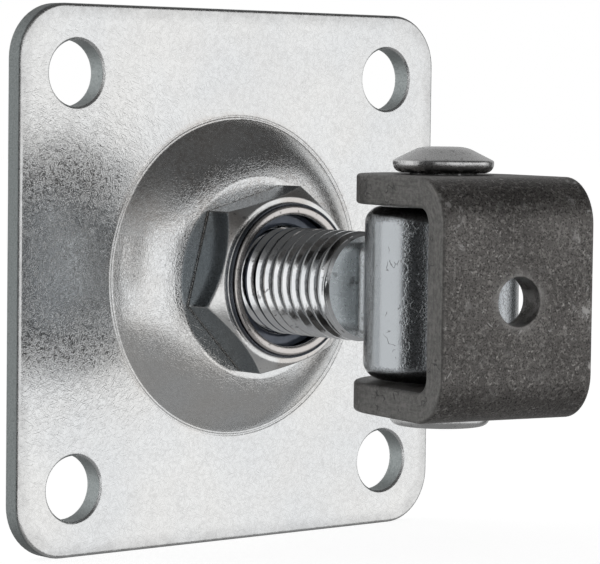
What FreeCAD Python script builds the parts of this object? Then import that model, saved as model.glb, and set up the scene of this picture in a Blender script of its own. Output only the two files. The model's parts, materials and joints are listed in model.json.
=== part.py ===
# Adjustable gate hinge. A square plate goes on the post. A captive nut turns in the
# plate's dome and screws a thick threaded stud in and out. The stud carries an upright
# barrel, and a U-shaped bracket for the gate swings on a pin through that barrel.
#
# Millimetres. The origin is the centre of the plate's back face. +Y points into the
# post, the stud comes out along -Y, and the hinge pin stands along Z.

import math
import os

import FreeCAD
import Part

# Plate, pressed from one sheet
plate_width = 100.0
plate_sheet = 4.0
plate_corner_radius = 10.0
plate_rim_round = 0.7
fixing_hole_diameter = 12.0
fixing_hole_to_edge = 12.5
fixing_hole_roll_in = 0.4

# Dome in the middle of the plate
dome_rise = 7.0
dome_foot_radius = 29.4
dome_top_radius = 18.7
dome_foot_angle = 48.0
dome_top_angle = 18.0
dome_wall = 3.6
dome_foot_blend = 0.35
dome_top_blend = 1.5
dome_mouth_round = 2.0
coined_line_width = 0.5
coined_line_depth = 0.12

# Captive nut
nut_across_flats = 31.0
nut_turned_by = 15.0
nut_hex_height = 8.0
nut_chamfer_angle = 42.0
nut_face_diameter = 30.7
nut_face_ring = 1.05
shoulder_height = 0.95
shoulder_rim = 0.15
collar_groove_width = 0.3
collar_groove_depth = 0.6
collar_wall = 1.2
collar_beyond_shoulder = 0.3
spigot_diameter = 25.0
lip_overhang = 2.3
lip_thickness = 1.6

# Ring that keeps the nut in the dome, and locking ring in the nut's collar
washer_overhang = 5.0
washer_thickness = 2.0
insert_height = 3.2
insert_below_collar = 0.8

# Threaded stud, drawn at the size of its thread crests
stud_diameter = 19.7
stud_reach = 41.0
stud_behind_plate = 30.0
stud_front_chamfer_length = 0.8
stud_front_chamfer_depth = 0.65
stud_rear_chamfer = 1.5

# Barrel on the stud's end, with its neck
pin_beyond_stud = 19.0
barrel_diameter = 26.9
barrel_height = 30.0
barrel_edge_round = 3.0
neck_height = 16.0
neck_root_width = 5.6
neck_boss_width = 19.0
neck_boss_length = 1.5
neck_edge_round = 1.9

# Hinge pin
pin_diameter = 11.8
pin_head_diameter = 17.6
pin_head_rim = 2.1
pin_head_under_round = 1.6
pin_head_brim_round = 0.4
pin_crown_rise = 2.4
pin_crown_flat = 8.0
pin_crown_round = 6.0
pin_head_lift = 0.3
pin_foot_diameter = 17.5
pin_foot_height = 2.4

# Bracket, bent from flat bar
bar_width = 30.0
bar_thickness = 5.2
bracket_reach = 24.5
bend_inner_radius = 2.8
bar_edge_roll = 0.6
web_hole_diameter = 8.4
swing_at_rest = -11.5

# Clearances
nut_end_float = 0.1
spigot_clearance = 0.3
thread_clearance = 0.05
washer_clearance = 0.1
insert_clearance = 0.05
pin_running_clearance = 0.05
pin_seat_clearance = 0.1
barrel_end_clearance = 0.4

# Edge rounds that follow a piece's own size, as shares of it
knee_round_share = 0.8
lip_back_share = 0.6
lip_edge_share = 0.2
collar_rim_share = 0.45
insert_edge_share = 0.4
washer_edge_share = 0.15
foot_back_share = 0.6
foot_seat_share = 0.2

# How far a cutting shape runs past the surface that it cuts, and what counts as nothing
overrun = 1.0
nothing = 1e-6

# Places that follow from the sizes above, measured outward from the plate's back face
plate_front = plate_sheet
fixing_spacing = plate_width - 2 * fixing_hole_to_edge
dome_top = plate_front + dome_rise
dome_ceiling = dome_top - dome_wall
nut_seat = dome_top + nut_end_float
nut_face = nut_seat + nut_hex_height
shoulder_front = nut_face + shoulder_height
collar_front = shoulder_front + collar_beyond_shoulder
washer_front = dome_ceiling - nut_end_float
washer_back = washer_front - washer_thickness
lip_back = washer_back - lip_thickness
nut_bore_radius = stud_diameter / 2 + thread_clearance
spigot_radius = spigot_diameter / 2
shoulder_radius = nut_face_diameter / 2 - nut_face_ring
groove_radius = shoulder_radius - shoulder_rim
collar_radius = groove_radius - collar_groove_width
insert_seat_radius = collar_radius - collar_wall
insert_front = collar_front - insert_below_collar
insert_back = insert_front - insert_height
pin_axis_reach = stud_reach + pin_beyond_stud
pin_radius = pin_diameter / 2
leg_inside = barrel_height / 2 + barrel_end_clearance
leg_outside = leg_inside + bar_thickness
pin_centre = FreeCAD.Vector(0, -pin_axis_reach, 0)

ALONG_Y = FreeCAD.Vector(0, 1, 0)
ALONG_Z = FreeCAD.Vector(0, 0, 1)
CENTRE = FreeCAD.Vector(0, 0, 0)


def rounded_face(corners, place):
    """Flat face through corners (u, v, radius), each corner with radius above 0 rounded."""
    runs = []
    count = len(corners)
    for index in range(count):
        before = FreeCAD.Vector(corners[index - 1][0], corners[index - 1][1], 0)
        here = FreeCAD.Vector(corners[index][0], corners[index][1], 0)
        after = FreeCAD.Vector(corners[(index + 1) % count][0], corners[(index + 1) % count][1], 0)
        radius = corners[index][2]
        if radius <= 0:
            runs.append((here, None, here))
            continue
        back = (before - here).normalize()
        ahead = (after - here).normalize()
        half = back.getAngle(ahead) / 2
        tangent = radius / math.tan(half)
        inward = (back + ahead).normalize()
        middle = here + inward * (radius / math.sin(half) - radius)
        runs.append((here + back * tangent, middle, here + ahead * tangent))
    edges = []
    for index in range(count):
        start, middle, end = runs[index]
        if middle is not None:
            arc = Part.Arc(place(start.x, start.y), place(middle.x, middle.y), place(end.x, end.y))
            edges.append(arc.toShape())
        following = runs[(index + 1) % count][0]
        if (following - end).Length > nothing:
            edges.append(Part.makeLine(place(end.x, end.y), place(following.x, following.y)))
    return Part.Face(Part.Wire(edges))


def turned_on_stud_axis(corners):
    """Round solid about the stud's axis from corners (radius, distance outward, round)."""
    face = rounded_face(corners, lambda u, v: FreeCAD.Vector(u, -v, 0))
    return face.revolve(CENTRE, ALONG_Y, 360)


def turned_on_pin_axis(corners):
    """Round solid about the pin's axis from corners (radius, height, round)."""
    face = rounded_face(corners, lambda u, v: pin_centre + FreeCAD.Vector(u, 0, v))
    return face.revolve(pin_centre, ALONG_Z, 360)


def dome_skin(depth, base):
    """Half section of the dome's skin at a depth under its outside, from base up to the top.

    The flank leaves the foot steeply and reaches the top at a shallow angle, and one long
    arc joins the two. Returns the corners from the foot inward."""
    foot_angle = math.radians(dome_foot_angle)
    top_angle = math.radians(dome_top_angle)
    foot = (dome_foot_radius - depth * math.sin(foot_angle), plate_front - depth * math.cos(foot_angle))
    brow = (dome_top_radius - depth * math.sin(top_angle), dome_top - depth * math.cos(top_angle))
    foot_slope = math.tan(foot_angle)
    top_slope = math.tan(top_angle)
    level = dome_top - depth
    knee_radius = (foot[1] - brow[1] + foot_slope * foot[0] - top_slope * brow[0]) / (foot_slope - top_slope)
    knee_level = foot[1] + foot_slope * (foot[0] - knee_radius)
    base_radius = foot[0] + (foot[1] - base) / foot_slope
    top_radius = brow[0] + (brow[1] - level) / top_slope
    lower_run = math.hypot(base_radius - knee_radius, knee_level - base)
    upper_run = math.hypot(knee_radius - top_radius, level - knee_level)
    turn = math.tan((foot_angle - top_angle) / 2)
    knee_round = knee_round_share * min(lower_run, upper_run) / turn
    return (base_radius, base), (knee_radius, knee_level, knee_round), (top_radius, level)


def rod_outward(radius, start, end, x=0.0, z=0.0):
    """Cylinder along the stud's direction between two distances from the back face."""
    foot = FreeCAD.Vector(x, -start, z)
    return Part.makeCylinder(radius, end - start, foot, ALONG_Y * -1)


def mounting_plate():
    half = plate_width / 2
    corners = [
        (-half, -half, plate_corner_radius),
        (half, -half, plate_corner_radius),
        (half, half, plate_corner_radius),
        (-half, half, plate_corner_radius),
    ]
    outline = rounded_face(corners, lambda u, v: FreeCAD.Vector(u, 0, v))
    slab = outline.extrude(ALONG_Y * -plate_sheet)
    rim = []
    for edge in slab.Edges:
        box = edge.BoundBox
        if box.YLength < nothing:
            rim.append(edge)
    slab = slab.makeFillet(plate_rim_round, rim)

    # The dome swells from a crisp foot to a flat top
    foot, knee, top = dome_skin(0, plate_front)
    outside = foot[0] + 2 * dome_foot_blend
    dome = turned_on_stud_axis([
        (0, plate_front / 2, 0),
        (outside, plate_front / 2, 0),
        (outside, plate_front, 0),
        (foot[0], foot[1], dome_foot_blend),
        knee,
        (top[0], top[1], dome_top_blend),
        (0, dome_top, 0),
    ])

    # Hollow behind it, one wall thickness in from the outside
    mouth, inner_knee, ceiling = dome_skin(dome_wall, 0)
    hollow = turned_on_stud_axis([
        (0, -overrun, 0),
        (outside, -overrun, 0),
        (outside, 0, 0),
        (mouth[0], mouth[1], dome_mouth_round),
        inner_knee,
        (ceiling[0], ceiling[1], dome_top_blend),
        (0, dome_ceiling, 0),
    ])

    # Line coined into the sheet round the dome's foot
    line_inner = foot[0] + dome_foot_blend
    line_outer = line_inner + coined_line_width
    coined_line = turned_on_stud_axis([
        (line_inner, plate_front + overrun, 0),
        (line_inner, plate_front, 0),
        (line_inner + coined_line_depth, plate_front - coined_line_depth, 0),
        (line_outer - coined_line_depth, plate_front - coined_line_depth, 0),
        (line_outer, plate_front, 0),
        (line_outer, plate_front + overrun, 0),
    ])

    plate = slab.fuse(dome).cut(hollow).cut(coined_line)
    nut_hole = rod_outward(spigot_radius + spigot_clearance, 0, dome_top + overrun)
    plate = plate.cut(nut_hole)

    # Four punched fixing holes, drawn in a little at the front
    hole_radius = fixing_hole_diameter / 2
    for side in (-1, 1):
        for level in (-1, 1):
            x = side * fixing_spacing / 2
            z = level * fixing_spacing / 2
            hole = rod_outward(hole_radius, -overrun, plate_front + overrun, x, z)
            mouth_foot = FreeCAD.Vector(x, -plate_front + fixing_hole_roll_in, z)
            wide = hole_radius + fixing_hole_roll_in
            mouth = Part.makeCone(hole_radius, wide, fixing_hole_roll_in, mouth_foot, ALONG_Y * -1)
            plate = plate.cut(hole.fuse(mouth))
    return plate.removeSplitter()


def swivel_nut():
    # Hexagon with its front corners turned off
    corner_radius = nut_across_flats / math.sqrt(3)
    points = []
    for step in range(7):
        angle = math.radians(nut_turned_by + 60 * step)
        points.append(FreeCAD.Vector(
            corner_radius * math.cos(angle), -nut_seat, corner_radius * math.sin(angle)))
    hexagon = Part.Face(Part.makePolygon(points)).extrude(ALONG_Y * -nut_hex_height)
    chamfer_drop = (corner_radius - nut_face_diameter / 2) * math.tan(math.radians(nut_chamfer_angle))
    barrel = turned_on_stud_axis([
        (0, nut_seat, 0),
        (corner_radius, nut_seat, 0),
        (corner_radius, nut_face - chamfer_drop, 0),
        (nut_face_diameter / 2, nut_face, 0),
        (0, nut_face, 0),
    ])
    hexagon = hexagon.common(barrel)

    # Round parts: swaged lip, spigot through the dome, then in front a low shoulder and,
    # past a groove, the rolled collar that holds the locking ring
    lip_radius = spigot_radius + lip_overhang
    groove_floor = shoulder_front - collar_groove_depth
    round_parts = turned_on_stud_axis([
        (0, lip_back, 0),
        (lip_radius, lip_back, lip_thickness * lip_back_share),
        (lip_radius, washer_back, lip_thickness * lip_edge_share),
        (spigot_radius, washer_back, 0),
        (spigot_radius, nut_seat + nut_hex_height / 2, 0),
        (shoulder_radius, nut_seat + nut_hex_height / 2, 0),
        (shoulder_radius, shoulder_front, 0),
        (groove_radius, shoulder_front, 0),
        (groove_radius, groove_floor, 0),
        (collar_radius, groove_floor, 0),
        (collar_radius, collar_front, collar_wall * collar_rim_share),
        (insert_seat_radius, collar_front, collar_wall * collar_rim_share),
        (insert_seat_radius, insert_back, 0),
        (0, insert_back, 0),
    ])
    pocket = rod_outward(insert_seat_radius, insert_back, collar_front + overrun)
    bore = rod_outward(nut_bore_radius, lip_back - overrun, collar_front + overrun)
    nut = hexagon.cut(pocket).fuse(round_parts).cut(bore)
    return nut.removeSplitter()


def locking_insert():
    outer = insert_seat_radius - insert_clearance
    edge = (outer - nut_bore_radius) * insert_edge_share
    return turned_on_stud_axis([
        (nut_bore_radius, insert_back, 0),
        (outer, insert_back, 0),
        (outer, insert_front, edge),
        (nut_bore_radius, insert_front, edge),
    ])


def retaining_washer():
    inner = spigot_radius + washer_clearance
    outer = spigot_radius + washer_overhang
    edge = washer_thickness * washer_edge_share
    return turned_on_stud_axis([
        (inner, washer_back, 0),
        (outer, washer_back, edge),
        (outer, washer_front, edge),
        (inner, washer_front, 0),
    ])


def threaded_stud():
    radius = stud_diameter / 2
    return turned_on_stud_axis([
        (0, -stud_behind_plate, 0),
        (radius - stud_rear_chamfer, -stud_behind_plate, 0),
        (radius, stud_rear_chamfer - stud_behind_plate, 0),
        (radius, stud_reach - stud_front_chamfer_length, 0),
        (radius - stud_front_chamfer_depth, stud_reach, 0),
        (0, stud_reach, 0),
    ])


def eye_barrel():
    radius = barrel_diameter / 2
    half = barrel_height / 2
    barrel = turned_on_pin_axis([
        (0, -half, 0),
        (radius, -half, barrel_edge_round),
        (radius, half, barrel_edge_round),
        (0, half, 0),
    ])

    # Neck seen from above: thin at the stud, swelling to a boss where it meets the barrel
    root = neck_root_width / 2
    boss = neck_boss_width / 2
    boss_meets_barrel = pin_axis_reach - math.sqrt(radius ** 2 - boss ** 2)
    boss_start = boss_meets_barrel - neck_boss_length
    boss_end = boss_meets_barrel + neck_edge_round
    neck_inside = pin_axis_reach - pin_radius
    plan = [
        (-root, stud_reach, 0),
        (root, stud_reach, 0),
        (boss, boss_start, neck_edge_round),
        (boss, boss_end, 0),
        (boss - neck_edge_round, neck_inside, 0),
        (neck_edge_round - boss, neck_inside, 0),
        (-boss, boss_end, 0),
        (-boss, boss_start, neck_edge_round),
    ]
    low = -neck_height / 2
    outline = rounded_face(plan, lambda u, v: FreeCAD.Vector(u, -v, low))
    neck = outline.extrude(ALONG_Z * neck_height)
    sides = []
    for edge in neck.Edges:
        box = edge.BoundBox
        if box.ZLength < nothing and box.YMin > -boss_end - nothing and box.YLength > nothing:
            sides.append(edge)
    neck = neck.makeFillet(neck_edge_round, sides)
    bore_height = barrel_height + 2 * overrun
    bore_foot = pin_centre - ALONG_Z * (bore_height / 2)
    bore = Part.makeCylinder(pin_radius + pin_running_clearance, bore_height, bore_foot, ALONG_Z)
    return barrel.fuse(neck).cut(bore).removeSplitter()


def at_rest(shape):
    """Swing a bracket piece about the pin to where it stands at rest."""
    shape.rotate(pin_centre, ALONG_Z, swing_at_rest)
    return shape


def hinge_pin():
    head_start = leg_outside + pin_head_lift
    rim_top = head_start + pin_head_rim
    crown_top = rim_top + pin_crown_rise
    head = pin_head_diameter / 2
    foot = pin_foot_diameter / 2
    foot_end = -leg_outside - pin_foot_height
    pin = turned_on_pin_axis([
        (0, foot_end, 0),
        (foot, foot_end, pin_foot_height * foot_back_share),
        (foot, -leg_outside, pin_foot_height * foot_seat_share),
        (pin_radius, -leg_outside, 0),
        (pin_radius, head_start, 0),
        (head, head_start, pin_head_under_round),
        (head, rim_top, pin_head_brim_round),
        (pin_crown_flat / 2, crown_top, pin_crown_round),
        (0, crown_top, 0),
    ])
    return at_rest(pin)


def weld_bracket():
    # The U seen from the side, as wide as the bar
    web_out = -pin_axis_reach - bracket_reach
    web_in = web_out + bar_thickness
    tip = -pin_axis_reach + bar_width / 2
    bend_outer_radius = bend_inner_radius + bar_thickness
    side_view = [
        (tip, leg_outside, 0),
        (web_out, leg_outside, bend_outer_radius),
        (web_out, -leg_outside, bend_outer_radius),
        (tip, -leg_outside, 0),
        (tip, -leg_inside, 0),
        (web_in, -leg_inside, bend_inner_radius),
        (web_in, leg_inside, bend_inner_radius),
        (tip, leg_inside, 0),
    ]
    left = -bar_width / 2
    profile = rounded_face(side_view, lambda u, v: FreeCAD.Vector(left, u, v))
    bent_bar = profile.extrude(FreeCAD.Vector(bar_width, 0, 0))

    # The leg ends are rounded about the pin
    half = bar_width / 2
    plan = [
        (-half, web_out, 0),
        (half, web_out, 0),
        (half, tip, half),
        (-half, tip, half),
    ]
    low = -leg_outside - overrun
    outline = rounded_face(plan, lambda u, v: FreeCAD.Vector(u, v, low))
    bent_bar = bent_bar.common(outline.extrude(ALONG_Z * (-2 * low)))

    # Soft rolled edges along both sides of the bar
    rolled = []
    for edge in bent_bar.Edges:
        box = edge.BoundBox
        on_side = box.XLength < nothing and abs(abs(box.XMin) - half) < nothing
        along_bar = box.YLength + box.ZLength > bar_thickness + nothing
        on_tip = box.ZLength < nothing and box.YMax > -pin_axis_reach + nothing
        if on_side and along_bar or on_tip:
            rolled.append(edge)
    bracket = bent_bar.makeFillet(bar_edge_roll, rolled)

    pin_hole_height = 2 * (leg_outside + overrun)
    pin_hole_foot = pin_centre - ALONG_Z * (pin_hole_height / 2)
    pin_hole_radius = pin_radius + pin_seat_clearance
    pin_hole = Part.makeCylinder(pin_hole_radius, pin_hole_height, pin_hole_foot, ALONG_Z)
    web_hole = rod_outward(web_hole_diameter / 2, -web_in - overrun, -web_out + overrun)
    return at_rest(bracket.cut(pin_hole).cut(web_hole))


nodes = {
    "mounting_plate": mounting_plate,
    "swivel_nut": swivel_nut,
    "locking_insert": locking_insert,
    "retaining_washer": retaining_washer,
    "threaded_stud": threaded_stud,
    "eye_barrel": eye_barrel,
    "hinge_pin": hinge_pin,
    "weld_bracket": weld_bracket,
}

os.makedirs("parts", exist_ok=True)
for name, make in nodes.items():
    shape = make()
    shape.exportStep("parts/" + name + ".step")
    bounds = shape.BoundBox
    print(name, shape.ShapeType, len(shape.Solids), shape.isValid(), round(shape.Volume, 1),
          [round(value, 2) for value in (bounds.XMin, bounds.XMax, bounds.YMin, bounds.YMax,
                                         bounds.ZMin, bounds.ZMax)])
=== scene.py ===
import json
import math

import bmesh
import bpy
from mathutils import Matrix, Vector

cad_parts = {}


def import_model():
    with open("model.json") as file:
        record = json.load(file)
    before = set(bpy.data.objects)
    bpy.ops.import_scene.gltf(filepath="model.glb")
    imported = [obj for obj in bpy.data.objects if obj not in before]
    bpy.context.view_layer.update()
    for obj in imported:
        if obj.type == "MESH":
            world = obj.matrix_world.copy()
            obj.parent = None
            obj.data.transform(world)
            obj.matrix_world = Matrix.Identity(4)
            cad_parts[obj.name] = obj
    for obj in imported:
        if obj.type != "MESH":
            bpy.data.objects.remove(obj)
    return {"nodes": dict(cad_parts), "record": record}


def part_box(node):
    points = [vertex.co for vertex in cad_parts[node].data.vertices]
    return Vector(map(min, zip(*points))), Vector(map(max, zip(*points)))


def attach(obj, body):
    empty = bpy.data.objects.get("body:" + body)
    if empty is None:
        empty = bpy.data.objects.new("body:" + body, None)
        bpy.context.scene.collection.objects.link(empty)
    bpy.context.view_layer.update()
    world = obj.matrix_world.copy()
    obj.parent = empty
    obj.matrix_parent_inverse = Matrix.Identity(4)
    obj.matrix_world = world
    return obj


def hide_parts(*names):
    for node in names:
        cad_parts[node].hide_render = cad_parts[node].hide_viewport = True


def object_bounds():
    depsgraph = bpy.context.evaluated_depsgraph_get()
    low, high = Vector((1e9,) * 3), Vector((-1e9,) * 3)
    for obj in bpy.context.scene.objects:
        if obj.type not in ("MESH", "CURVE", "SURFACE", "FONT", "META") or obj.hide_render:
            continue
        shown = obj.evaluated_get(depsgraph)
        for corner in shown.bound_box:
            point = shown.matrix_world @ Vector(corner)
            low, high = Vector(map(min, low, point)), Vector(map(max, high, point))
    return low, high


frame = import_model()
cad_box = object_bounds()
record = frame["record"]
nodes = frame["nodes"]
mounts = {mount["name"]: mount for mount in record["mounts"]}
joints = {joint["name"]: joint for joint in record["behaviour"]["joints"]}

# Camera, found from the plate's corners in the photograph
PHOTO_WIDTH_PX = 600
FOCAL_PX = 2929.1
SENSOR_WIDTH_MM = 36.0
CAMERA_AZIMUTH = math.radians(-40.78)
CAMERA_ELEVATION = math.radians(3.44)
CAMERA_ROLL = math.radians(0.73)
CAMERA_PLACE = Vector((-0.35064, -0.42885, 0.03213))
CLIP_START = 0.01
CLIP_END = 20.0

# Floor: its own grey, and the light that it shows to the camera alone so that it looks pale
FLOOR_SIZE = 6.0
FLOOR_GREY = 0.5
FLOOR_GLOW = 0.87

# Thread, whose pitch is the stud's travel for one turn of the nut
PITCH = 2 * math.pi / record["behaviour"]["couplings"][0]["ratio"]
THREAD_DEPTH = 0.58 * PITCH
CREST_WIDTH = 0.16 * PITCH
ROOT_WIDTH = 0.18 * PITCH
FLANK_WIDTH = (PITCH - CREST_WIDTH - ROOT_WIDTH) / 2
FLANK_SHARES = (0.15, 0.5, 0.85)
FRONT_CHAMFER_DEPTH = 0.00065
FRONT_CHAMFER_LENGTH = 0.0008
REAR_CHAMFER = 0.0015
RUN_OUT = 0.0022
STEPS_ROUND = 144
THREAD_SHARP_ANGLE = math.radians(32)
RING_SHARP_ANGLE = math.radians(40)
SAME_POINT = 1e-7
STUD_LOW, STUD_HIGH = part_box("threaded_stud")
STUD_RADIUS = (STUD_HIGH.x - STUD_LOW.x) / 2
STUD_REAR = -STUD_HIGH.y
STUD_FRONT = -STUD_LOW.y

# Plate: its dome, the place of its edge, and what |x| + |z| is multiplied by on a rounded corner
# to give the same place
DOME_RADIUS = 0.0302
DOME_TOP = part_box("mounting_plate")[0].y
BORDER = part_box("mounting_plate")[1].x
CORNER_RADIUS = 0.010
CORNER_SLANT = BORDER / (2 * (BORDER - CORNER_RADIUS * (1 - math.sqrt(0.5))))

# Front of the nut: radii of its shoulder and its rolled lip from the stud's axis, and how far
# the shoulder and the locking ring lie behind the collar's front
NUT_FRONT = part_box("swivel_nut")[0].y
SHOULDER_RADIUS = 0.0143
SHOULDER_DROP = 0.00125
LIP_INSIDE = 0.0122
LIP_OUTSIDE = 0.01385
LIP_THICKNESS = 0.0009
LIP_EDGE = 0.0005
LIP_PROUD = 0.00008
INSERT_DEPTH = 0.0025
INSERT_EDGE = 0.0006
BORE_GAP = 0.00015
CORNER_STEPS = 6

# Pin and barrel. The barrel's smooth strip lies between two angles round the pin, measured from
# the way outward, and STRIP_RAGGED is how far its sides wander, in radians
PIN_PLACE = joints["bracket_swing"]["pos_m"]
PIN_CROWN = 0.0024
BARREL_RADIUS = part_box("eye_barrel")[1].x
BARREL_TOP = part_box("eye_barrel")[1].z
STRIP_FROM = math.radians(-106)
STRIP_TO = math.radians(-71)
STRIP_RAGGED = 0.09

# Bracket as it stands at rest: the way its hole points, its reach from the pin, its bar, and the
# pale ring round its hole, which starts and is full at places outward from the pin
WEB_HOLE = mounts["bracket_web_hole"]
WEB_HOLE_RADIUS = WEB_HOLE["dims"]["r_mm"] / 1000
SWING = math.atan2(WEB_HOLE["axis"][0], -WEB_HOLE["axis"][1])
WELD_PLACE = mounts["bracket_weld_face"]["pos_m"]
BRACKET_REACH = math.hypot(WELD_PLACE[0] - PIN_PLACE[0], WELD_PLACE[1] - PIN_PLACE[1])
BAR_HALF_WIDTH = 0.015
BAR_THICKNESS = 0.0052
BEND_RADIUS = 0.0028
HALO_WIDTH = 0.0016
HALO_FROM = 0.015
HALO_FULL = 0.018

# Scratches on the zinc and the steel. FADE is the rise of a noise over which they fade in
HAIR_ANGLES = (12, 47, 83, 118, 155)
HAIR_SCALE = 5200.0
HAIR_LENGTH = 9.0
SCRATCH_SCALE = 2600.0
FADE = 0.04

# Colours of the surfaces, as red, green, blue and alpha
PLATE_COOL = (0.82, 0.835, 0.845, 1)
PLATE_PALE = (0.88, 0.885, 0.88, 1)
PLATE_STAIN = (0.76, 0.71, 0.65, 1)
PLATE_DIRT = (0.42, 0.37, 0.34, 1)
RIM_DARK = (0.16, 0.18, 0.18, 1)
RIM_PALE = (0.27, 0.29, 0.29, 1)
HOLE_DARK = (0.27, 0.30, 0.30, 1)
HOLE_PALE = (0.39, 0.42, 0.42, 1)
NUT_DULL = (0.72, 0.73, 0.73, 1)
NUT_PALE = (0.84, 0.84, 0.83, 1)
NUT_STAIN = (0.50, 0.44, 0.40, 1)
# Painted dark reflection on the nut's hex facets
NUT_FACET_SHADE = (0.16, 0.19, 0.21, 1)
# Painted shade on the collar's wall between the lip and the shoulder
COLLAR_WALL_SHADE = (0.09, 0.10, 0.12, 1)
COLLAR_LIP = (0.62, 0.585, 0.565, 1)
NYLON_DARK = (0.10, 0.12, 0.16, 1)
NYLON_BLUE = (0.20, 0.225, 0.28, 1)
STUD_DULL = (0.74, 0.76, 0.78, 1)
STUD_BRIGHT = (0.86, 0.87, 0.88, 1)
# Painted shade in the thread's roots
STUD_ROOT_SHADE = (0.055, 0.05, 0.05, 1)
STUD_END = (0.92, 0.95, 0.96, 1)
BARREL_DARK = (0.44, 0.465, 0.49, 1)
BARREL_PALE = (0.52, 0.545, 0.565, 1)
BARREL_STRIP = (0.44, 0.465, 0.485, 1)
BARREL_NECK = (0.56, 0.59, 0.61, 1)
SCALE_DARK = (0.098, 0.092, 0.087, 1)
SCALE_BROWN = (0.172, 0.163, 0.155, 1)
SCALE_GRAIN = (0.34, 0.325, 0.31, 1)
SCALE_PITS = (0.035, 0.032, 0.03, 1)
STEEL_RUBBED = (0.50, 0.49, 0.48, 1)
STEEL_NICK = (0.55, 0.54, 0.53, 1)
STEEL_SPECK = (0.50, 0.48, 0.46, 1)
STEEL_HALO = (0.42, 0.41, 0.40, 1)
STEEL_EDGE = (0.45, 0.435, 0.42, 1)
CUT_DARK = (0.11, 0.108, 0.103, 1)
CUT_PALE = (0.22, 0.215, 0.205, 1)
LAYER_PALE = (0.30, 0.29, 0.275, 1)
LAYER_DARK = (0.06, 0.056, 0.052, 1)


def smooth(value):
    value = min(max(value, 0.0), 1.0)
    return value * value * (3 - 2 * value)


def new_object(mesh, name, sharp_angle):
    """Object of the scene from a bmesh, shaded smooth except at edges sharper than an angle."""
    bmesh.ops.recalc_face_normals(mesh, faces=mesh.faces)
    data = bpy.data.meshes.new(name)
    mesh.to_mesh(data)
    mesh.free()
    data.shade_smooth()
    data.set_sharp_from_angle(angle=sharp_angle)
    piece = bpy.data.objects.new(name, data)
    bpy.context.scene.collection.objects.link(piece)
    return piece


def point_round(mesh, radius, out, step):
    """New point of a mesh, at a radius and a step round the stud's axis and a place outward along it."""
    angle = 2 * math.pi * step / STEPS_ROUND
    return mesh.verts.new((radius * math.cos(angle), -out, radius * math.sin(angle)))


def groove_depth(along):
    """Depth of the thread's groove, from 0 at the crest to 1 at the root, at a place in the pitch."""
    offset = abs((along / PITCH + 0.5) % 1.0 - 0.5) * PITCH
    depth = (offset - CREST_WIDTH / 2) / FLANK_WIDTH
    return min(max(depth, 0.0), 1.0)


def thread_marks():
    """Places along one pitch, from the middle of a crest, where the thread's mesh has its points."""
    crest = CREST_WIDTH / 2
    marks = [-crest, 0, crest]
    marks += [crest + FLANK_WIDTH * share for share in (*FLANK_SHARES, 1.0)]
    marks += [PITCH / 2, PITCH / 2 + ROOT_WIDTH / 2]
    marks += [PITCH - crest - FLANK_WIDTH * share for share in reversed(FLANK_SHARES)]
    return marks


def rod_radius(out, turn):
    """Radius of the stud at a place outward and a share of a turn round it."""
    depth = groove_depth(out - PITCH * turn) * smooth((STUD_FRONT - out) / RUN_OUT)
    from_front = (STUD_FRONT - out) / FRONT_CHAMFER_LENGTH
    from_rear = (out - STUD_REAR) / REAR_CHAMFER
    front_limit = STUD_RADIUS - FRONT_CHAMFER_DEPTH * max(0.0, 1 - from_front)
    rear_limit = STUD_RADIUS - REAR_CHAMFER * max(0.0, 1 - from_rear)
    return min(STUD_RADIUS - THREAD_DEPTH * depth, front_limit, rear_limit)


def thread_column(mesh, marks, step):
    """Points of the stud's mesh in a line from its rear to its front, at a step round it."""
    turn = step / STEPS_ROUND
    column = []
    for lap in range(-2, math.ceil((STUD_FRONT - STUD_REAR) / PITCH)):
        for mark in marks:
            out = STUD_REAR + PITCH * (lap + turn) + mark
            out = min(max(out, STUD_REAR), STUD_FRONT)
            column.append(point_round(mesh, rod_radius(out, turn), out, step))
    return column


def threaded_rod():
    """Stud with its helical thread, which runs out at the front, and with a chamfer at each end."""
    marks = thread_marks()
    mesh = bmesh.new()
    columns = [thread_column(mesh, marks, step) for step in range(STEPS_ROUND)]

    # After the last column comes the first again, one pitch further on
    for column, following in zip(columns, columns[1:] + [columns[0][len(marks):]]):
        for row in range(len(following) - 1):
            mesh.faces.new((column[row], column[row + 1], following[row + 1], following[row]))
    for end in (0, -1):
        mesh.faces.new([column[end] for column in columns])
    bmesh.ops.remove_doubles(mesh, verts=mesh.verts, dist=SAME_POINT)
    bmesh.ops.dissolve_degenerate(mesh, edges=mesh.edges, dist=SAME_POINT)
    rod = new_object(mesh, "threaded_rod", THREAD_SHARP_ANGLE)
    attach(rod, "bolt")
    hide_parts("threaded_stud")
    return rod


def turned(name, profile, body):
    """Piece turned about the stud's axis from a closed profile of (radius, place outward) points."""
    mesh = bmesh.new()
    steps = range(STEPS_ROUND)
    rings = [[point_round(mesh, radius, out, step) for step in steps] for radius, out in profile]
    for ring, following in zip(rings, rings[1:] + rings[:1]):
        for step in steps:
            beside = (step + 1) % STEPS_ROUND
            mesh.faces.new((ring[step], ring[beside], following[beside], following[step]))
    piece = new_object(mesh, name, RING_SHARP_ANGLE)
    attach(piece, body)
    return piece


def rounded(inner, outer, back, front, edge):
    """Profile of a ring with rounded front corners."""
    points = [(outer, back), (inner, back)]
    for corner, side in ((inner + edge, math.pi), (outer - edge, math.pi / 2)):
        for step in range(CORNER_STEPS + 1):
            angle = side - math.pi / 2 * step / CORNER_STEPS
            points.append((corner + edge * math.cos(angle), front - edge + edge * math.sin(angle)))
    return points


def locking_ring():
    """Nylon ring, set deeper in the collar than the solid's."""
    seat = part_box("locking_insert")[1]
    front = -NUT_FRONT - INSERT_DEPTH
    profile = rounded(STUD_RADIUS + BORE_GAP, seat.x, -seat.y, front, INSERT_EDGE)
    ring = turned("locking_ring", profile, "nut")
    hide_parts("locking_insert")
    return ring


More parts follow.
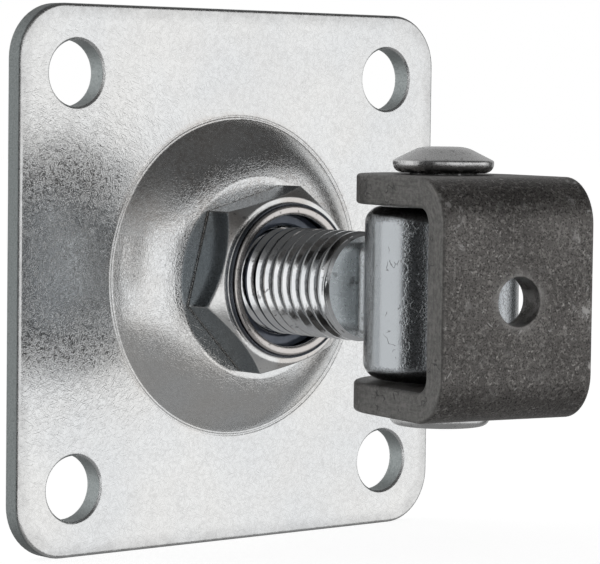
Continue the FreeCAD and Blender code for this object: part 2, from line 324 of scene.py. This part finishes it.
def rolled_lip():
    """Rim of the collar, rolled inward over the locking ring."""
    front = -NUT_FRONT + LIP_PROUD
    profile = rounded(LIP_INSIDE, LIP_OUTSIDE, front - LIP_THICKNESS, front, LIP_EDGE)
    return turned("rolled_lip", profile, "nut")


class Nodes:
    """Short way to lay out the nodes of a material or of the world."""

    def __init__(self, tree):
        self.tree = tree
        self.tree.nodes.clear()

    def put(self, socket, value):
        """Link a socket to what another node gives, or set a plain value on it."""
        if isinstance(value, bpy.types.NodeSocket):
            self.tree.links.new(value, socket)
        else:
            socket.default_value = value

    def add(self, kind, inputs=None, **settings):
        node = self.tree.nodes.new("ShaderNode" + kind)
        for key, value in settings.items():
            setattr(node, key, value)
        for key, value in (inputs or {}).items():
            self.put(node.inputs[key], value)
        return node

    def maths(self, operation, first, second=0.0):
        return self.add("Math", {0: first, 1: second}, operation=operation).outputs[0]

    def plus(self, first, second):
        return self.maths("ADD", first, second)

    def minus(self, first, second):
        return self.maths("SUBTRACT", first, second)

    def times(self, first, *others):
        for other in others:
            first = self.maths("MULTIPLY", first, other)
        return first

    def larger(self, first, second):
        return self.maths("MAXIMUM", first, second)

    def absolute(self, value):
        return self.maths("ABSOLUTE", value)

    def inverse(self, share):
        """1 where a share is 0, and 0 where it is 1."""
        return self.minus(1.0, share)

    def distance(self, first, second):
        """Distance, from its parts in two directions at right angles."""
        return self.maths("SQRT", self.plus(self.times(first, first), self.times(second, second)))

    def parts(self, vector):
        split = self.add("SeparateXYZ", {0: vector})
        return split.outputs["X"], split.outputs["Y"], split.outputs["Z"]

    def ramp(self, value, low, high, to_low=0.0, to_high=1.0):
        """Runs from to_low at low to to_high at high, and stays there beyond them."""
        inputs = {"Value": value, "From Min": low, "From Max": high, "To Min": to_low, "To Max": to_high}
        return self.add("MapRange", inputs, clamp=True).outputs["Result"]

    def band(self, value, rise, full, fall, gone):
        """Rises from 0 at rise to 1 at full, and is back to 0 from fall to gone."""
        return self.times(self.ramp(value, rise, full), self.ramp(value, fall, gone, 1.0, 0.0))

    def noise(self, place, scale, detail=2.0, rough=0.5):
        inputs = {"Vector": place, "Scale": scale, "Detail": detail, "Roughness": rough}
        return self.add("TexNoise", inputs).outputs["Fac"]

    def patches(self, place, scale, low, high, to_low=0.0, to_high=1.0, detail=2.0, rough=0.5):
        """Patches where a noise of its own is high, on a ramp from low to high."""
        return self.ramp(self.noise(place, scale, detail, rough), low, high, to_low, to_high)

    def spread(self, noise, low, high):
        """A noise spread over a range of values."""
        return self.ramp(noise, 0.3, 0.7, low, high)

    def mix(self, share, first, second):
        """Colour that goes from the first to the second as the share grows."""
        return self.add("Mix", {0: share, 6: first, 7: second}, data_type="RGBA").outputs[2]

    def clouded(self, noise, first, second):
        """Colour that wanders from one tone to another with a noise."""
        return self.mix(self.ramp(noise, 0.35, 0.65), first, second)

    def tint(self, tone, where, strength, colour):
        """Tone tinted with a colour, where something is and as strongly as said."""
        return self.mix(self.times(where, strength), tone, colour)


def grey(level):
    return (level, level, level, 1.0)


def surface(name):
    """New material, its nodes and the place on the object that its pattern follows."""
    material = bpy.data.materials.new(name)
    material.use_nodes = True
    n = Nodes(material.node_tree)
    return material, n, n.add("TexCoord").outputs["Object"]


def finish(n, colour, metallic, roughness, height, relief, rounding=0.0004, samples=6):
    """Shader of a material, with a bump of the given relief and edges that look rounded, in metres."""
    bump = n.add("Bump", {"Height": height, "Strength": 1.0, "Distance": relief})
    if rounding > 0:
        soft = n.add("Bevel", {"Radius": rounding}, samples=samples)
        n.put(bump.inputs["Normal"], soft.outputs["Normal"])
    inputs = {"Base Color": colour, "Metallic": metallic, "Roughness": roughness}
    inputs["Normal"] = bump.outputs["Normal"]
    shader = n.add("BsdfPrincipled", inputs)
    n.add("OutputMaterial", {0: shader.outputs[0]})


def facing(n, low, high):
    """1 where the surface faces along the stud's axis, either way, and 0 where it runs along it."""
    normal = n.add("NewGeometry").outputs["Normal"]
    return n.ramp(n.absolute(n.parts(normal)[1]), low, high)


def edge_mask(n, radius, low, high):
    """1 on the solid's sharp edges, fading to 0 a radius away from them."""
    bevel = n.add("Bevel", {"Radius": radius}, samples=4).outputs["Normal"]
    normal = n.add("NewGeometry").outputs["Normal"]
    likeness = n.add("VectorMath", {0: bevel, 1: normal}, operation="DOT_PRODUCT").outputs["Value"]
    return n.ramp(likeness, high, low)


def scratches(n, place, angle, length, threshold, fade=FADE, scale=SCRATCH_SCALE, centre=(0, 0, 0)):
    """Thin straight scratches in the XZ plane, at an angle in degrees."""
    inputs = {"Vector": place, "Center": centre, "Angle": math.radians(angle)}
    along = n.add("VectorRotate", inputs, rotation_type="Y_AXIS").outputs[0]
    drawn_out = n.add("Mapping", {"Vector": along, "Scale": (1 / length, 1.0, 1.0)}).outputs["Vector"]
    return n.ramp(n.noise(drawn_out, scale, detail=0.0), threshold, threshold + fade)


def hairs(n, place):
    """Short fine scratches that cross in every direction of the XZ plane."""
    total = 0.0
    for angle in HAIR_ANGLES:
        centre = (angle / 1000, 0, -angle / 700)
        hair = scratches(n, place, angle, HAIR_LENGTH, 0.58, 0.16, HAIR_SCALE, centre)
        total = n.larger(total, hair)
    return total


def cracks(n, place, scale, width, share):
    """Thin broken winding lines, over a share of the surface."""
    line = n.ramp(n.absolute(n.minus(n.noise(place, scale), 0.5)), width, width * 0.3)
    return n.times(line, n.patches(place, scale * 0.6, 1 - share, 1 - share + FADE))


def plate_dirt(n, place, z, outside):
    """Dark specks on the dome, more of them on its upper part."""
    dirt = n.patches(place, 1300.0, 0.44, 0.60, detail=5.0, rough=0.75)
    dirt = n.times(dirt, n.patches(place, 130.0, 0.36, 0.58, 0.25, 1.0))
    return n.times(dirt, n.ramp(z, 0.002, 0.012, 0.25, 1.0), n.ramp(outside, 0, 1, 0.5, 0.0))


def plate_border(n, x, z):
    """How far out a point of the plate lies: BORDER all round its edge, rounded corners too."""
    across = n.absolute(x)
    upward = n.absolute(z)
    return n.larger(n.larger(across, upward), n.times(n.plus(across, upward), CORNER_SLANT))


def plate_cut(n, border, grain):
    """Tone of the cut edges: dark on the rim, and paler in the holes, which lie further in."""
    inner = n.ramp(border, BORDER - 0.002, BORDER - 0.0025)
    rim = n.mix(n.spread(grain, 0, 1), RIM_DARK, RIM_PALE)
    hole = n.mix(n.spread(grain, 0, 1), HOLE_DARK, HOLE_PALE)
    return n.mix(inner, rim, hole)


def plate_zinc():
    """Pale sheet with fine marks and stains, dirt on its dome, darker cut edges and a painted dark
    reflection along its rolled border.
    """
    material, n, place = surface("plate_zinc")
    x, _, z = n.parts(place)
    outside = n.ramp(n.distance(x, z), DOME_RADIUS, DOME_RADIUS + 0.001)
    border = plate_border(n, x, z)
    clouds = n.noise(place, 38.0, 3.0)
    mottle = n.noise(place, 620.0, 3.0, 0.6)
    grain = n.noise(place, 3600.0, rough=0.6)
    marks = hairs(n, place)
    tone = n.clouded(clouds, PLATE_COOL, PLATE_PALE)
    tone = n.mix(n.ramp(mottle, 0.48, 0.75, 0.0, 0.3), tone, grey(0.72))
    tone = n.tint(tone, marks, 0.24, grey(0.36))
    stain = n.times(n.patches(place, 70.0, 0.42, 0.62), n.ramp(outside, 0, 1, 0.30, 0.1))
    tone = n.mix(stain, tone, PLATE_STAIN)
    tone = n.mix(plate_dirt(n, place, z, outside), tone, PLATE_DIRT)
    # Painted dark reflection along the rolled-over border, broken up by the mottle.
    rolled = n.ramp(border, BORDER - 0.0030, BORDER - 0.0004, 0.0, 0.5)
    tone = n.mix(n.times(rolled, n.ramp(mottle, 0.35, 0.65, 0.4, 1.0)), tone, grey(0.36))
    long_marks = n.larger(scratches(n, place, 55, 14.0, 0.78), scratches(n, place, -20, 10.0, 0.79))
    tone = n.tint(tone, long_marks, 0.16, grey(0.50))
    cut = n.times(n.inverse(facing(n, 0.35, 0.75)), outside)
    tone = n.mix(cut, tone, plate_cut(n, border, grain))
    tone = n.tint(tone, edge_mask(n, 0.0006, 0.86, 0.99), 0.3, grey(0.90))
    dull = n.patches(place, 1900.0, 0.50, 0.66, 0.0, 0.16, rough=0.6)
    roughness = n.plus(n.plus(0.13, dull), n.times(cut, 0.25))
    height = n.plus(n.times(grain, 0.35), n.times(mottle, 0.35))
    height = n.minus(height, n.times(marks, 0.7))
    finish(n, tone, 0.97, roughness, height, 0.000015, rounding=0.0003)
    return material


def collar_wall(n, y, radius):
    """1 on the outside of the collar, between its rolled lip and the shoulder."""
    behind_lip = n.ramp(radius, LIP_OUTSIDE - 0.0001, LIP_OUTSIDE)
    inside_shoulder = n.ramp(radius, SHOULDER_RADIUS + 0.00006, SHOULDER_RADIUS + 0.00003)
    before_shoulder = n.ramp(y, NUT_FRONT + SHOULDER_DROP, NUT_FRONT + SHOULDER_DROP * 0.97)
    return n.times(behind_lip, inside_shoulder, before_shoulder)


def collar_lip(n, y, radius):
    """1 on the rolled lip."""
    inside = n.ramp(radius, LIP_OUTSIDE + 0.0001, LIP_OUTSIDE)
    return n.times(inside, n.ramp(y, NUT_FRONT + 0.0008, NUT_FRONT + 0.0004))


def nut_edges(n, radius, wall, foot):
    """How pale the nut's edges are, partly from wear and partly as a painted highlight: most outside the
    shoulder, and not at its foot on the dome.
    """
    edge = edge_mask(n, 0.0007, 0.84, 0.985)
    edge = n.times(edge, n.ramp(radius, SHOULDER_RADIUS + 0.0001, SHOULDER_RADIUS + 0.0005, 0.25, 0.8))
    return n.times(edge, n.ramp(wall, 0, 1, 1.0, 0.1), n.inverse(foot))


def nut_zinc():
    """Bright nut with a painted dark reflection on its facets, a painted shadow line at its foot,
    painted shade on its collar wall, pale edges that are partly wear and partly a painted highlight, and
    a warm rolled lip.
    """
    material, n, place = surface("nut_zinc")
    x, y, z = n.parts(place)
    radius = n.distance(x, z)
    clouds = n.noise(place, 160.0, 3.0)
    grain = n.noise(place, 2600.0, rough=0.6)
    tone = n.clouded(clouds, NUT_DULL, NUT_PALE)
    tone = n.mix(n.patches(place, 110.0, 0.50, 0.62, 0.0, 0.5), tone, NUT_STAIN)
    # Painted dark reflection: the hex facets, which face across the stud's axis, are toned near-black.
    sides = n.inverse(facing(n, 0.05, 0.2))
    tone = n.tint(tone, sides, 0.90, NUT_FACET_SHADE)
    # Painted shadow: a near-black line along the foot of the facets, where the nut meets the dome.
    foot = n.times(n.ramp(y, DOME_TOP - 0.00055, DOME_TOP - 0.0004), sides)
    tone = n.tint(tone, foot, 0.9, grey(0.02))
    wall = collar_wall(n, y, radius)
    # Painted shade: the collar's wall, in the narrow step between the rolled lip and the shoulder, is
    # toned near-black.
    tone = n.tint(tone, wall, 0.95, COLLAR_WALL_SHADE)
    tone = n.tint(tone, collar_lip(n, y, radius), 0.85, COLLAR_LIP)
    # Pale edges: partly worn zinc, partly a painted highlight along the nut's rounded edges.
    tone = n.mix(nut_edges(n, radius, wall, foot), tone, grey(0.88))
    pits = n.patches(place, 900.0, 0.64, 0.70)
    tone = n.tint(tone, pits, 0.5, grey(0.15))
    height = n.plus(grain, n.times(clouds, 2.0))
    finish(n, tone, 1.0, n.spread(grain, 0.14, 0.26), height, 0.00002, rounding=0.0006, samples=10)
    return material


def insert_nylon():
    material, n, place = surface("insert_nylon")
    clouds = n.noise(place, 240.0, 3.0)
    grain = n.noise(place, 1500.0)
    tone = n.clouded(clouds, NYLON_DARK, NYLON_BLUE)
    finish(n, tone, 0.25, n.spread(grain, 0.10, 0.22), grain, 0.00002)
    return material


def washer_zinc():
    material, n, place = surface("washer_zinc")
    clouds = n.noise(place, 200.0, 3.0)
    grain = n.noise(place, 1500.0, rough=0.6)
    tone = n.clouded(clouds, grey(0.55), grey(0.68))
    tone = n.tint(tone, edge_mask(n, 0.0005, 0.88, 0.99), 0.5, grey(0.85))
    finish(n, tone, 1.0, n.spread(grain, 0.22, 0.34), grain, 0.00003)
    return material


def stud_zinc():
    """Bright thread with painted shade in its roots, a few chips, and a duller flat end."""
    material, n, place = surface("stud_zinc")
    x, _, z = n.parts(place)
    clouds = n.noise(place, 220.0, 3.0)
    grain = n.noise(place, 2400.0, rough=0.6)
    tone = n.clouded(clouds, STUD_DULL, STUD_BRIGHT)
    end = facing(n, 0.93, 0.99)
    depth = n.minus(STUD_RADIUS, n.distance(x, z))
    # Painted shade: the thread's roots darken toward the bottom of the groove.
    root = n.ramp(depth, THREAD_DEPTH * 0.55, THREAD_DEPTH * 0.80)
    tone = n.tint(tone, n.times(root, n.inverse(end)), 0.85, STUD_ROOT_SHADE)
    chips = n.patches(place, 700.0, 0.64, 0.70)
    tone = n.tint(tone, chips, 0.6, grey(0.12))
    pits = n.patches(place, 500.0, 0.64, 0.70)
    tone = n.mix(end, tone, n.tint(STUD_END, pits, 0.5, grey(0.25)))
    roughness = n.plus(n.spread(grain, 0.08, 0.14), n.times(end, 0.18))
    metallic = n.ramp(end, 0, 1, 1.0, 0.9)
    finish(n, tone, metallic, roughness, grain, 0.00001, rounding=0.0)
    return material


def smooth_strip(n, around, reach, ragged):
    """1 on the barrel's smooth strip, which ends short of the barrel's ends."""
    strip = n.ramp(around, STRIP_FROM - STRIP_RAGGED, STRIP_FROM)
    strip = n.times(strip, n.ramp(around, STRIP_TO, STRIP_TO - 0.02))
    end = n.plus(reach, n.times(ragged, 0.01))
    return n.times(strip, n.ramp(end, BARREL_TOP - 0.0024, BARREL_TOP - 0.0030))


def barrel_zinc():
    """Grainy barrel with a smooth strip that has ragged sides, painted shade at its ends beside the
    bracket's legs, and a pale neck.
    """
    material, n, place = surface("barrel_zinc")
    x, y, z = n.parts(place)
    aside = n.minus(x, PIN_PLACE[0])
    outward = n.minus(PIN_PLACE[1], y)
    reach = n.absolute(z)
    clouds = n.noise(place, 120.0, 3.0)
    grain = n.noise(place, 2600.0, 3.0, 0.7)
    ragged = n.spread(n.noise(place, 700.0, 3.0, 0.65), -STRIP_RAGGED, STRIP_RAGGED)
    around = n.plus(n.maths("ARCTAN2", aside, outward), ragged)
    strip = smooth_strip(n, around, reach, ragged)
    tone = n.clouded(clouds, BARREL_DARK, BARREL_PALE)
    specks = n.times(n.ramp(grain, 0.52, 0.40, 0.0, 0.65), n.inverse(strip))
    tone = n.mix(specks, tone, grey(0.15))
    tone = n.tint(tone, strip, 0.8, BARREL_STRIP)
    neck = n.ramp(n.distance(aside, outward), BARREL_RADIUS - 0.0002, BARREL_RADIUS + 0.0003)
    tone = n.tint(tone, neck, 0.5, BARREL_NECK)
    # Painted shade: the barrel's ends, beside the bracket's legs, are toned near-black.
    end = n.ramp(reach, BARREL_TOP - 0.0026, BARREL_TOP - 0.0012)
    tone = n.tint(tone, end, 0.8, grey(0.04))
    lines = cracks(n, place, 420.0, 0.014, 0.42)
    tone = n.tint(tone, lines, 0.55, grey(0.12))
    tone = n.tint(tone, edge_mask(n, 0.0006, 0.86, 0.99), 0.3, grey(0.65))
    roughness = n.plus(n.spread(grain, 0.07, 0.17), n.times(strip, 0.06))
    height = n.times(grain, n.ramp(strip, 0, 1, 1.0, 0.15))
    height = n.minus(height, n.times(lines, 0.4))
    finish(n, tone, 1.0, roughness, height, 0.00005)
    return material


def pin_zinc():
    """Dull pin with a painted pale highlight on its crown, and dark patches under its head that are
    partly dirt and partly painted shade.
    """
    material, n, place = surface("pin_zinc")
    z = n.parts(place)[2]
    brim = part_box("hinge_pin")[1].z - PIN_CROWN
    clouds = n.noise(place, 180.0, 3.0)
    grain = n.noise(place, 1900.0, 3.0, 0.65)
    tone = n.clouded(clouds, grey(0.54), grey(0.70))
    crown = n.ramp(z, brim, brim + 0.0004)
    # Painted highlight: the crown's tone is made paler.
    tone = n.tint(tone, crown, 0.6, grey(0.88))
    specks = n.patches(place, 1400.0, 0.62, 0.7)
    tone = n.tint(tone, specks, 0.5, grey(0.15))
    # Dark patches under the head: partly dirt, partly painted shade.
    under = n.times(n.ramp(z, brim - 0.0010, brim - 0.0016), n.ramp(z, brim - 0.004, brim - 0.003))
    grime_and_shade = n.times(n.patches(place, 520.0, 0.46, 0.52), under)
    tone = n.tint(tone, grime_and_shade, 0.9, grey(0.06))
    tone = n.tint(tone, edge_mask(n, 0.0005, 0.88, 0.99), 0.5, grey(0.8))
    roughness = n.plus(n.spread(grain, 0.2, 0.32), n.times(grime_and_shade, 0.2))
    height = n.plus(grain, n.times(grime_and_shade, 1.5))
    finish(n, tone, n.ramp(crown, 0, 1, 1.0, 0.55), roughness, height, 0.00003)
    return material


def mill_scale(n, place, clouds, grain, aside):
    """Broad faces of the bar: dark scale with pale grains, pits, rubbed edges, nicks and specks."""
    fine = n.noise(place, 3000.0, rough=0.6)
    tone = n.clouded(clouds, SCALE_DARK, SCALE_BROWN)
    tone = n.mix(n.ramp(grain, 0.50, 0.62, 0.0, 0.75), tone, SCALE_GRAIN)
    tone = n.mix(n.ramp(fine, 0.50, 0.36, 0.0, 0.9), tone, SCALE_PITS)
    rubbed = n.patches(place, 420.0, 0.58, 0.66, detail=4.0, rough=0.7)
    near_edge = n.ramp(aside, BAR_HALF_WIDTH - 0.0055, BAR_HALF_WIDTH - 0.0015, 0.15, 0.95)
    tone = n.mix(n.times(rubbed, near_edge), tone, STEEL_RUBBED)
    nicks = n.larger(scratches(n, place, 50, 5.0, 0.80), scratches(n, place, -35, 4.0, 0.81))
    tone = n.tint(tone, n.times(nicks, n.ramp(clouds, 0.40, 0.55)), 0.6, STEEL_NICK)
    specks = n.patches(place, 1500.0, 0.66, 0.72, detail=1.0)
    specks = n.times(specks, n.patches(place, 150.0, 0.45, 0.6, 0.1, 0.8))
    return n.mix(specks, tone, STEEL_SPECK)


def bar_layers(n, y, z):
    """Noise in thin layers that follow the bar's section round its bends, as rolling leaves them."""
    middle_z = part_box("weld_bracket")[1].z - BAR_THICKNESS - BEND_RADIUS
    middle_y = PIN_PLACE[1] - BRACKET_REACH + BAR_THICKNESS + BEND_RADIUS
    above = n.larger(n.minus(n.absolute(z), middle_z), 0.0)
    beyond = n.larger(n.minus(middle_y, y), 0.0)
    depth = n.distance(above, beyond)
    along = n.add("CombineXYZ", {"X": depth, "Y": n.times(y, 0.12), "Z": n.times(z, 0.12)})
    return n.noise(along.outputs[0], 2600.0, 3.0, 0.7)


def bar_cut(n, grain, layers, tears):
    """Cut edges of the bar: pale and dark layers, and dark tears."""
    tone = n.mix(n.ramp(grain, 0.4, 0.6), CUT_DARK, CUT_PALE)
    tone = n.mix(n.ramp(layers, 0.50, 0.66, 0.0, 0.35), tone, LAYER_PALE)
    tone = n.mix(n.ramp(layers, 0.46, 0.34, 0.0, 0.40), tone, LAYER_DARK)
    return n.tint(tone, tears, 0.8, grey(0.035))


def hole_halo(n, place, x, y, z):
    """Pale rubbed ring round the hole, on the web's outer side."""
    halo = n.ramp(n.distance(x, z), WEB_HOLE_RADIUS + HALO_WIDTH, WEB_HOLE_RADIUS + 0.0001)
    halo = n.times(halo, n.patches(place, 500.0, 0.42, 0.6, 0.1, 0.65, detail=3.0, rough=0.6))
    return n.times(halo, n.ramp(y, PIN_PLACE[1] - HALO_FROM, PIN_PLACE[1] - HALO_FULL))


def bracket_steel():
    """Raw hot-rolled bar: brown-grey scale, torn cut edges, and pale steel where edges have worn."""
    material, n, place = surface("bracket_steel")
    turn = {"Vector": place, "Center": PIN_PLACE, "Angle": -SWING}
    x, y, z = n.parts(n.add("VectorRotate", turn, rotation_type="Z_AXIS").outputs[0])
    aside = n.absolute(x)
    clouds = n.noise(place, 70.0, 4.0, 0.55)
    grain = n.noise(place, 1300.0, 4.0, 0.75)
    tears = cracks(n, place, 380.0, 0.02, 0.45)
    cut = n.ramp(aside, BAR_HALF_WIDTH - 0.00035, BAR_HALF_WIDTH - 0.00005)
    tone = mill_scale(n, place, clouds, grain, aside)
    tone = n.mix(cut, tone, bar_cut(n, grain, bar_layers(n, y, z), tears))
    tone = n.mix(hole_halo(n, place, x, y, z), tone, STEEL_HALO)
    edge = edge_mask(n, 0.0009, 0.80, 0.98)
    edge = n.times(edge, n.patches(place, 300.0, 0.42, 0.60, 0.1, 0.9, detail=4.0, rough=0.7))
    tone = n.mix(edge, tone, STEEL_EDGE)
    roughness = n.ramp(grain, 0.35, 0.65, 0.36, 0.52)
    height = n.plus(grain, n.times(clouds, 4.0))
    height = n.minus(height, n.times(tears, cut, 1.2))
    finish(n, tone, 0.5, roughness, height, 0.00006, rounding=0.0005)
    return material


def paint(node, material):
    for slot in nodes[node].material_slots:
        slot.material = material


rod = threaded_rod()
rod.data.materials.append(stud_zinc())
ring = locking_ring()
ring.data.materials.append(insert_nylon())
lip = rolled_lip()
lip.data.materials.append(nut_zinc())
paint("mounting_plate", plate_zinc())
paint("swivel_nut", lip.data.materials[0])
paint("retaining_washer", washer_zinc())
paint("eye_barrel", barrel_zinc())
paint("hinge_pin", pin_zinc())
paint("weld_bracket", bracket_steel())


def floor():
    """Pale floor under the object. Metal reflects the studio past it."""
    low = cad_box[0]
    half = FLOOR_SIZE / 2
    corners = [(-half, -half, low.z), (half, -half, low.z), (half, half, low.z), (-half, half, low.z)]
    mesh = bpy.data.meshes.new("floor")
    mesh.from_pydata(corners, [], [(0, 1, 2, 3)])
    plane = bpy.data.objects.new("floor", mesh)
    bpy.context.scene.collection.objects.link(plane)
    material = bpy.data.materials.new("floor")
    material.use_nodes = True
    n = Nodes(material.node_tree)
    path = n.add("LightPath").outputs
    diffuse = n.add("BsdfDiffuse", {"Color": grey(FLOOR_GREY)})
    glow = n.times(path["Is Camera Ray"], FLOOR_GLOW)
    white = n.add("Emission", {"Color": grey(1.0), "Strength": glow})
    seen = n.add("AddShader", {0: diffuse.outputs[0], 1: white.outputs[0]})
    clear = n.add("BsdfTransparent")
    mixed = n.add("MixShader", {0: path["Is Glossy Ray"], 1: seen.outputs[0], 2: clear.outputs[0]})
    n.add("OutputMaterial", {0: mixed.outputs[0]})
    mesh.materials.append(material)


def front_panel(n, azimuth, elevation):
    """White panel in front, with a dark gap through its upper part."""
    panel = n.times(n.band(azimuth, -61, -54, 70, 86), n.band(elevation, -33, -22, 20, 27))
    gap = n.times(n.band(azimuth, -50, -45, -37, -32), n.ramp(elevation, -10, -3))
    return n.times(panel, n.ramp(gap, 0, 1, 1.0, 0.2))


def back_wall(n, x, y, elevation):
    """White wall behind, weaker overhead, below and toward the right."""
    wall = n.times(n.ramp(y, 0.20, 0.30), n.ramp(elevation, 25, 70, 1.0, 0.15))
    return n.times(wall, n.ramp(elevation, -40, -15, 0.35, 1.0), n.ramp(x, -0.2, 0.3, 1.0, 0.45))


def world():
    """Studio round the object: white panel in front, white wall behind, dark overhead and at the left.

    It has no lamps: the light comes from the directions painted here, in degrees.
    """
    background = bpy.data.worlds.new("studio")
    bpy.context.scene.world = background
    background.use_nodes = True
    n = Nodes(background.node_tree)
    x, y, z = n.parts(n.add("TexCoord").outputs["Generated"])
    azimuth = n.times(n.maths("ARCTAN2", x, n.times(y, -1.0)), 180 / math.pi)
    elevation = n.times(n.maths("ARCSINE", z), 180 / math.pi)
    below = n.ramp(elevation, -12, -35, 0.0, 0.26)
    glow = n.times(n.band(azimuth, -75, -62, -25, 0), n.ramp(elevation, 24, 50, 0.45, 0.0))
    glow = n.times(glow, n.ramp(elevation, 18, 24))
    lit = n.larger(front_panel(n, azimuth, elevation), back_wall(n, x, y, elevation))
    lit = n.larger(lit, n.larger(below, glow))
    dark = n.mix(n.ramp(elevation, 15, 50), grey(0.045), grey(0.09))
    tone = n.mix(lit, dark, grey(1.0))
    shown = n.mix(n.add("LightPath").outputs["Is Camera Ray"], tone, grey(1.0))
    light = n.add("Background", {"Color": shown, "Strength": 1.0})
    n.add("OutputWorld", {0: light.outputs[0]})


def camera():
    """Camera at the photograph's place, with its view and its slight roll."""
    data = bpy.data.cameras.new("camera")
    data.sensor_width = SENSOR_WIDTH_MM
    data.lens = FOCAL_PX / PHOTO_WIDTH_PX * SENSOR_WIDTH_MM
    data.clip_start = CLIP_START
    data.clip_end = CLIP_END
    level_reach = math.cos(CAMERA_ELEVATION)
    back = Vector((
        math.sin(CAMERA_AZIMUTH) * level_reach, -math.cos(CAMERA_AZIMUTH) * level_reach,
        math.sin(CAMERA_ELEVATION)))
    level = Vector((math.cos(CAMERA_AZIMUTH), math.sin(CAMERA_AZIMUTH), 0))
    upright = back.cross(level)
    right = math.cos(CAMERA_ROLL) * level + math.sin(CAMERA_ROLL) * upright
    up = math.cos(CAMERA_ROLL) * upright - math.sin(CAMERA_ROLL) * level
    eye = bpy.data.objects.new("camera", data)
    turn = Matrix((right, up, back)).transposed().to_4x4()
    eye.matrix_world = Matrix.Translation(CAMERA_PLACE) @ turn
    bpy.context.scene.collection.objects.link(eye)
    bpy.context.scene.camera = eye


floor()
world()
camera()
bpy.context.scene.view_settings.view_transform = "Standard"
